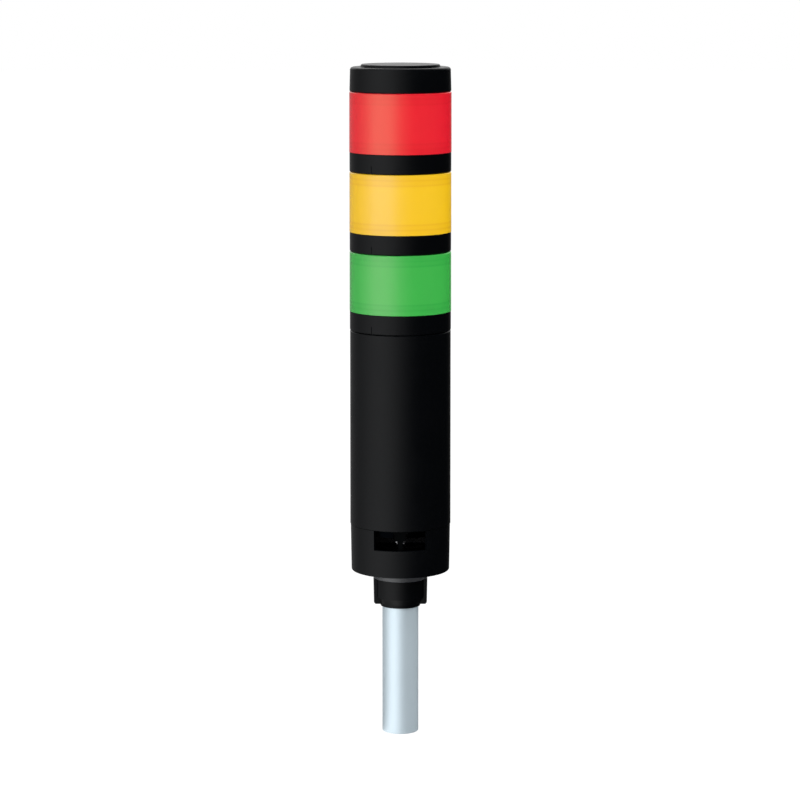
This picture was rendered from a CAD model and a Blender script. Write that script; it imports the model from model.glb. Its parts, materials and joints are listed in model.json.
import json
import math
import bmesh
import bpy
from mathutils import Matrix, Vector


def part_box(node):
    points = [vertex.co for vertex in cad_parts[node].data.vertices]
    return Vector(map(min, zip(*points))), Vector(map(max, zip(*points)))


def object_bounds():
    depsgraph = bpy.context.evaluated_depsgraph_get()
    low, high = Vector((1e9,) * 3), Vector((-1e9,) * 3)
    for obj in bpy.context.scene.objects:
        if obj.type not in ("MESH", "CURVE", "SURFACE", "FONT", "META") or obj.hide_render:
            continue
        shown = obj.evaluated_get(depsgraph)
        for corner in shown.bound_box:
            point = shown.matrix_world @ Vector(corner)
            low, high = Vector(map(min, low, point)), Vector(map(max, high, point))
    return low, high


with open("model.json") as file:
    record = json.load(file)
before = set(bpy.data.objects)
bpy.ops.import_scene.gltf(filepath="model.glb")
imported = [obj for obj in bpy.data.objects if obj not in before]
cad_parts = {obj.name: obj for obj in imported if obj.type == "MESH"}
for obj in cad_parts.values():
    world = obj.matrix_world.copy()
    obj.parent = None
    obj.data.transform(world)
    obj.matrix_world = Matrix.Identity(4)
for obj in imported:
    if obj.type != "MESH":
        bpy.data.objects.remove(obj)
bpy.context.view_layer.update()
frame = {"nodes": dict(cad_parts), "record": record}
scene = bpy.context.scene


# camera, at the height of the top tiers and looking slightly down
cameraSetup = {
    "side": -0.00024,
    "distance": 1.72598,
    "height": 0.47375,
    "tilt": 8.942,       # degrees below the horizon
    "lens": 132.02,
}


def makeCamera():
    data = bpy.data.cameras.new("camera")
    data.lens = cameraSetup["lens"]
    data.sensor_width = 36
    camera = bpy.data.objects.new("camera", data)
    scene.collection.objects.link(camera)
    camera.location = (cameraSetup["side"], -cameraSetup["distance"], cameraSetup["height"])
    camera.rotation_euler = (math.radians(90 - cameraSetup["tilt"]), 0, 0)
    scene.camera = camera


# shader maths on sockets
class Wire:
    def __init__(self, tree, socket):
        self.tree = tree
        self.socket = socket

    def maths(self, operation, *values):
        return self.tree.node("ShaderNodeMath", {"operation": operation}, dict(enumerate(values)))

    def __add__(self, other):
        return self.maths("ADD", self, other)

    __radd__ = __add__

    def __sub__(self, other):
        return self.maths("SUBTRACT", self, other)

    def __rsub__(self, other):
        return self.maths("SUBTRACT", other, self)

    def __mul__(self, other):
        return self.maths("MULTIPLY", self, other)

    __rmul__ = __mul__

    def __pow__(self, other):
        return self.maths("POWER", self, other)

    def size(self):
        return self.maths("ABSOLUTE", self)

    def atLeast(self, other):
        return self.maths("MAXIMUM", self, other)


class NodeTree:
    def __init__(self, tree):
        self.tree = tree
        tree.nodes.clear()

    def node(self, kind, settings=None, inputs=None, output=0):
        made = self.tree.nodes.new(kind)
        for name, value in (settings or {}).items():
            setattr(made, name, value)
        for name, value in (inputs or {}).items():
            if isinstance(value, Wire):
                self.tree.links.new(value.socket, made.inputs[name])
            else:
                made.inputs[name].default_value = value
        return Wire(self, made.outputs[output]) if made.outputs else None

    def coordinates(self, stretch=(1, 1, 1)):
        place = self.node("ShaderNodeTexCoord", output="Object")
        return self.node("ShaderNodeMapping", inputs={"Vector": place, "Scale": stretch})

    def grain(self, scale, detail=2.0, stretch=(1, 1, 1), roughness=0.5):
        return self.node("ShaderNodeTexNoise", inputs={
            "Vector": self.coordinates(stretch), "Scale": scale, "Detail": detail, "Roughness": roughness})

    def ramp(self, value, low, high, fromLow=0.0, fromHigh=1.0):
        return self.node("ShaderNodeMapRange", {"interpolation_type": "SMOOTHSTEP"}, {
            "Value": value, "From Min": fromLow, "From Max": fromHigh, "To Min": low, "To Max": high})

    def mixColour(self, factor, first, second):
        return self.node("ShaderNodeMix", {"data_type": "RGBA"}, {0: factor, 6: first, 7: second}, 2)

    def bump(self, height, depth, strength=1.0):
        return self.node("ShaderNodeBump", inputs={"Height": height, "Distance": depth, "Strength": strength})

    def place(self, axis):
        spot = self.node("ShaderNodeTexCoord", output="Object")
        return self.node("ShaderNodeSeparateXYZ", inputs={"Vector": spot}, output=axis)


def colour(red, green, blue):
    return (red, green, blue, 1.0)


def newMaterial(name):
    material = bpy.data.materials.new(name)
    material.use_nodes = True
    return material, NodeTree(material.node_tree)


def finish(tree, **inputs):
    named = {key.replace("_", " "): value for key, value in inputs.items()}
    shader = tree.node("ShaderNodeBsdfPrincipled", inputs=named)
    tree.node("ShaderNodeOutputMaterial", inputs={"Surface": shader})


# matt and glossy mouldings
plastics = {
    "black_plastic": {"colour": (0.0008, 0.0011, 0.0016), "mottle": 0.2, "roughness": 0.36,
                      "grain": 2600, "depth": 0.00002, "specular": 0.145, "hollowRadius": 0.0276},
    "grey_plastic": {"colour": (0.30, 0.30, 0.31), "mottle": 0.1, "roughness": 0.5,
                     "grain": 2600, "depth": 0.00002, "specular": 0.5},
    "block_plastic": {"colour": (0.010, 0.010, 0.012), "mottle": 0.15, "roughness": 0.45,
                      "grain": 2600, "depth": 0.00002, "specular": 0.15},
    "seal_rubber": {"colour": (0.030, 0.032, 0.036), "mottle": 0.25, "roughness": 0.34,
                    "grain": 1900, "depth": 0.00002, "specular": 0.66},
    "diffuser_plastic": {"colour": (0.86, 0.86, 0.84), "mottle": 0.03, "roughness": 0.5,
                         "grain": 1500, "depth": 0.00001, "specular": 0.4},
    "reflector_plastic": {"colour": (0.88, 0.88, 0.86), "mottle": 0.03, "roughness": 0.25,
                          "grain": 900, "depth": 0.00001, "specular": 0.5},
    "chip_resin": {"colour": (0.02, 0.02, 0.021), "mottle": 0.2, "roughness": 0.55,
                   "grain": 5000, "depth": 0.00001, "specular": 0.5},
    "inductor_ferrite": {"colour": (0.055, 0.055, 0.058), "mottle": 0.3, "roughness": 0.6,
                         "grain": 4000, "depth": 0.00003, "specular": 0.4},
}


# the lock lever's plastic, and the bright pins set into it
leverLook = {
    "colour": (0.0010, 0.0012, 0.0014),
    "pinColour": (0.22, 0.22, 0.23),
    "roughness": 0.32,
    "pinRoughness": 0.18,
    "specular": 0.015,
    "pinDrop": 0.0068,       # below the lever's top
    "pinSide": 0.0027,
    "pinRadius": 0.0011,
}


def makeLever(name):
    material, tree = newMaterial(name)
    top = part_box("lock_lever")[1][2]
    side = tree.place("X").size() - leverLook["pinSide"]
    drop = tree.place("Z") - (top - leverLook["pinDrop"])
    apart = (side ** 2 + drop ** 2) ** 0.5
    radius = leverLook["pinRadius"]
    pin = tree.ramp(apart, 1, 0, radius * 0.85, radius)
    speck = tree.grain(1500, 2)
    plain = leverLook["colour"]
    finish(
        tree,
        Base_Color=tree.mixColour(
            pin, tree.mixColour(speck, colour(*[value * 0.8 for value in plain]), colour(*plain)),
            colour(*leverLook["pinColour"])),
        Metallic=pin,
        Roughness=leverLook["roughness"] + pin * (leverLook["pinRoughness"] - leverLook["roughness"]),
        Specular_IOR_Level=leverLook["specular"],
        Normal=tree.bump(speck, 0.00001),
    )
    return material


hollowEdge = {"upright": 0.0005, "across": 0.0002}   # how softly the base's dull inside begins


# one inside the base's wall and under its upper edge, where nothing shines
def hollow(tree, radius):
    apart = (tree.place("X") ** 2 + tree.place("Y") ** 2) ** 0.5
    height = tree.place("Z")
    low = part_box("seal_ring")[1][2]
    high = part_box("mounting_base")[1][2]
    soft = hollowEdge["upright"]
    within = tree.ramp(height, 0, 1, low, low + soft) * tree.ramp(height, 1, 0, high, high + soft)
    return tree.ramp(apart, 1, 0, radius - hollowEdge["across"], radius) * within


def makePlastic(name, look):
    material, tree = newMaterial(name)
    broad = tree.grain(60, 3)
    fine = tree.grain(look["grain"], 3)
    base = look["colour"]
    lighter = colour(*[value * (1 + look["mottle"]) for value in base])
    darker = colour(*[value * (1 - look["mottle"]) for value in base])
    rough = look["roughness"]
    swing = 0.06             # of the roughness, either way
    finish(
        tree,
        Base_Color=tree.mixColour(broad * 0.6 + fine * 0.4, darker, lighter),
        Roughness=tree.ramp(broad * 0.5 + fine * 0.5, rough - swing, rough + swing, 0.3, 0.7),
        Metallic=hollow(tree, look["hollowRadius"]) if "hollowRadius" in look else 0.0,
        Specular_IOR_Level=look["specular"],
        Normal=tree.bump(fine, look["depth"]),
    )
    return material


# light-scattering lenses, with the inner ledges that show faintly through them
lenses = {
    "red_lens": {"tier": "red", "colour": (0.84, 0.006, 0.026), "ledge": (0.73, 0.003, 0.018),
                 "tint": (0.5, 1.0, 0.6), "ledgeShare": 0.28},
    "amber_lens": {"tier": "amber", "colour": (0.94, 0.58, 0.002), "ledge": (0.86, 0.48, 0.001),
                   "tint": (0.4, 0.6, 1.0), "ledgeShare": 0.52},
    "green_lens": {"tier": "green", "colour": (0.045, 0.48, 0.070), "ledge": (0.025, 0.40, 0.055),
                   "tint": (1.0, 0.7, 0.8), "ledgeShare": 0.30},
}
lensLook = {
    "topLedges": (0.0011, 0.0042),   # below the diffuser's top
    "lowLedges": (0.0032, 0.0061),   # above the ring
    "ledgeWidth": 0.0010,
    "endShare": 0.22,                # beyond the ledges nearest the middle
    "roughness": 0.24,
    "transmission": 0.30,
    "bending": 1.49,
    "specular": 1.0,
}


def ledgeLine(tree, height, level):
    return tree.ramp((height - level).size(), 1, 0, 0, lensLook["ledgeWidth"])


def makeLens(name, look):
    material, tree = newMaterial(name)
    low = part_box(look["tier"] + "_ring")[1][2]
    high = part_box(look["tier"] + "_diffuser")[1][2]
    broad = tree.grain(45, 2)
    fine = tree.grain(1800, 2)
    height = tree.place("Z")
    lowLevels = [low + rise for rise in lensLook["lowLedges"]]
    topLevels = [high - drop for drop in lensLook["topLedges"]]
    lines = sum(ledgeLine(tree, height, level) for level in lowLevels + topLevels)
    soft = lensLook["ledgeWidth"]
    lowEnd = tree.ramp(height, 1, 0, max(lowLevels), max(lowLevels) + soft)
    topEnd = tree.ramp(height, 0, 1, min(topLevels) - soft, min(topLevels))
    rough = lensLook["roughness"]
    finish(
        tree,
        Base_Color=tree.mixColour(
            lines * look["ledgeShare"] + (lowEnd + topEnd) * lensLook["endShare"] + broad * 0.2,
            colour(*look["colour"]), colour(*look["ledge"])),
        Roughness=tree.ramp(fine, rough - 0.02, rough + 0.02),
        Transmission_Weight=lensLook["transmission"],
        IOR=lensLook["bending"],
        Specular_IOR_Level=lensLook["specular"],
        Specular_Tint=colour(*look["tint"]),
    )
    return material


metals = {
    "pole_aluminium": {"colour": (0.535, 0.63, 0.69), "metal": 0.46, "roughness": 0.30, "lines": (900, 900, 5),
                       "swing": 0.02, "depth": 0.0000004, "dimAbove": "pole_nut", "dimColour": (0.01, 0.01, 0.01)},
    "contact_brass": {"colour": (0.80, 0.60, 0.30), "metal": 1.0, "roughness": 0.3, "lines": (900, 900, 60),
                      "swing": 0.07, "depth": 0.00001},
    "screw_steel": {"colour": (0.60, 0.60, 0.62), "metal": 1.0, "roughness": 0.35, "lines": (900, 900, 900),
                    "swing": 0.07, "depth": 0.00001},
    "capacitor_can": {"colour": (0.26, 0.28, 0.32), "metal": 0.8, "roughness": 0.4, "lines": (500, 500, 500),
                      "swing": 0.07, "depth": 0.00001},
}


def makeMetal(name, look):
    material, tree = newMaterial(name)
    lines = tree.grain(1.0, 3, look["lines"], 0.6)
    cloud = tree.grain(40, 2)
    base = look["colour"]
    tone = tree.mixColour(cloud, colour(*[value * 0.94 for value in base]), colour(*base))
    if "dimAbove" in look:
        # the end shut away in the base is dull
        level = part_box(look["dimAbove"])[1][2]
        shut = tree.ramp(tree.place("Z"), 0, 1, level, level + 0.001)
        tone = tree.mixColour(shut, tone, colour(*look["dimColour"]))
    rough = look["roughness"]
    swing = look["swing"]
    finish(
        tree,
        Base_Color=tone,
        Metallic=look["metal"],
        Roughness=tree.ramp(lines * 0.7 + cloud * 0.3, rough - swing, rough + swing, 0.3, 0.7),
        Normal=tree.bump(lines, look["depth"]),
    )
    return material


boardLook = {"bare": (0.012, 0.12, 0.05), "track": (0.02, 0.2, 0.08), "scale": 420, "depth": 0.00003}


def makeBoard(name):
    material, tree = newMaterial(name)
    tracks = tree.grain(boardLook["scale"], 0)
    edge = tree.ramp(tracks, 0, 1, 0.48, 0.52)
    finish(
        tree,
        Base_Color=tree.mixColour(edge, colour(*boardLook["bare"]), colour(*boardLook["track"])),
        Roughness=tree.ramp(tracks, 0.3, 0.4),
        Normal=tree.bump(tracks, boardLook["depth"]),
    )
    return material


lampLook = {"amber": (0.9, 0.82, 0.35), "pale": (0.95, 0.92, 0.7), "roughness": 0.25}


def makeLampBody(name):
    material, tree = newMaterial(name)
    speck = tree.grain(900, 2)
    finish(
        tree,
        Base_Color=tree.mixColour(speck, colour(*lampLook["amber"]), colour(*lampLook["pale"])),
        Roughness=lampLook["roughness"],
    )
    return material


def makeFinishes():
    finishes = {name: makePlastic(name, look) for name, look in plastics.items()}
    finishes.update({name: makeLens(name, look) for name, look in lenses.items()})
    finishes.update({name: makeMetal(name, look) for name, look in metals.items()})
    finishes["circuit_board"] = makeBoard("circuit_board")
    finishes["lamp_body"] = makeLampBody("lamp_body")
    finishes["lever_plastic"] = makeLever("lever_plastic")
    return finishes


def dressNodes(finishes):
    for subpart in frame["record"]["subparts"]:
        node = frame["nodes"][subpart["node"]]
        for place in node.material_slots:
            place.material = finishes[subpart["material_slot"]]


# pale studio
studio = {
    "floorRadius": 9.0,
    "floorColour": (0.88, 0.88, 0.88),
    "floorWhite": 0.88,       # share of plain white that the camera sees in the floor
    "floorStrength": 1.08,
    "skyDiffuse": 0.68,
    "shineFront": 0.009,      # what shiny surfaces see towards the front right
    "shineBack": 0.26,        # and towards the back left
    "shineHeading": (-0.8, 0.6, 0.1),
    "shineFade": (-0.1, 0.95),     # from none to all of it, as a cosine
    "softboxBearing": -42,    # degrees from the front
    "softboxShine": 1.7,
    "softboxFocus": 3.0,
    "topShine": 1.2,          # and high up behind
    "topHeading": (0, 0.8, 0.6),
    "topFade": (0.7, 0.95),
    "lamps": [
        # name, bearing from the front in degrees, height, distance, size, power
        ("keyLamp", -40, 0.45, 1.5, 1.7, 20),
        ("fillLamp", 70, 2.0, 1.6, 1.8, 47),
        ("backLamp", 165, 1.6, 0.9, 1.0, 4),
    ],
}


def aimedLamp(name, bearing, height, distance, size, power, target):
    data = bpy.data.lights.new(name, "AREA")
    data.shape = "ELLIPSE"
    data.size = size
    data.size_y = size * 1.3
    data.energy = power
    lamp = bpy.data.objects.new(name, data)
    scene.collection.objects.link(lamp)
    lamp.visible_glossy = False
    turn = math.radians(bearing)
    lamp.location = (math.sin(turn) * distance, -math.cos(turn) * distance, height)
    lamp.rotation_euler = (target - lamp.location).to_track_quat("-Z", "Y").to_euler()


def shine(tree, heading):
    # strength of the studio as shiny surfaces see it, by direction from the object
    def facing(way, direction):
        straight = tree.node("ShaderNodeVectorMath", {"operation": "NORMALIZE"}, {0: way})
        return tree.node("ShaderNodeVectorMath", {"operation": "DOT_PRODUCT"}, {0: straight, 1: direction}, "Value")

    level = tree.node("ShaderNodeVectorMath", {"operation": "MULTIPLY"}, {0: heading, 1: (1, 1, 0)})
    turn = math.radians(studio["softboxBearing"])
    softbox = facing(level, (math.sin(turn), -math.cos(turn), 0)).atLeast(0.0)
    wash = tree.ramp(
        facing(heading, studio["shineHeading"]), studio["shineFront"], studio["shineBack"], *studio["shineFade"])
    above = tree.ramp(facing(heading, studio["topHeading"]), 0, studio["topShine"], *studio["topFade"])
    return wash + above + softbox ** studio["softboxFocus"] * studio["softboxShine"]


def makeFloor():
    mesh = bmesh.new()
    bmesh.ops.create_circle(mesh, cap_ends=True, segments=96, radius=studio["floorRadius"])
    data = bpy.data.meshes.new("floor")
    mesh.to_mesh(data)
    mesh.free()
    floor = bpy.data.objects.new("floor", data)
    scene.collection.objects.link(floor)
    material, tree = newMaterial("floor")
    path = tree.node("ShaderNodeLightPath", output="Is Camera Ray")
    glossy = tree.node("ShaderNodeLightPath", output="Is Glossy Ray")
    through = tree.node("ShaderNodeLightPath", output="Is Transmission Ray")
    seen = path.atLeast(through)
    matt = tree.node("ShaderNodeBsdfDiffuse", inputs={"Color": colour(*studio["floorColour"])})
    mirrored = shine(tree, tree.node("ShaderNodeTexCoord", output="Object"))
    strength = studio["floorStrength"] + glossy * (mirrored - studio["floorStrength"])
    white = tree.node("ShaderNodeEmission", inputs={"Color": colour(1, 1, 1), "Strength": strength})
    mixed = tree.node("ShaderNodeMixShader", inputs={0: seen * studio["floorWhite"] + glossy, 1: matt, 2: white})
    tree.node("ShaderNodeOutputMaterial", inputs={"Surface": mixed})
    data.materials.append(material)


def makeSky():
    world = bpy.data.worlds.new("sky")
    scene.world = world
    world.use_nodes = True
    tree = NodeTree(world.node_tree)
    path = tree.node("ShaderNodeLightPath", output="Is Camera Ray")
    glossy = tree.node("ShaderNodeLightPath", output="Is Glossy Ray")
    through = tree.node("ShaderNodeLightPath", output="Is Transmission Ray")
    mirrored = shine(tree, tree.node("ShaderNodeTexCoord", output="Generated"))
    strength = studio["skyDiffuse"] + glossy * (mirrored - studio["skyDiffuse"])
    seen = path.atLeast(through)
    strength = strength + seen * (1 - strength)
    sky = tree.node("ShaderNodeBackground", inputs={"Color": colour(1, 1, 1), "Strength": strength})
    tree.node("ShaderNodeOutputWorld", inputs={"Surface": sky})


def makeStudio():
    low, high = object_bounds()
    target = (low + high) / 2
    for lamp in studio["lamps"]:
        aimedLamp(*lamp, target)
    makeFloor()
    makeSky()
    scene.view_settings.view_transform = "Standard"


makeCamera()
print("camera placed")
dressNodes(makeFinishes())
print("finishes assigned")
makeStudio()
print("studio lit")
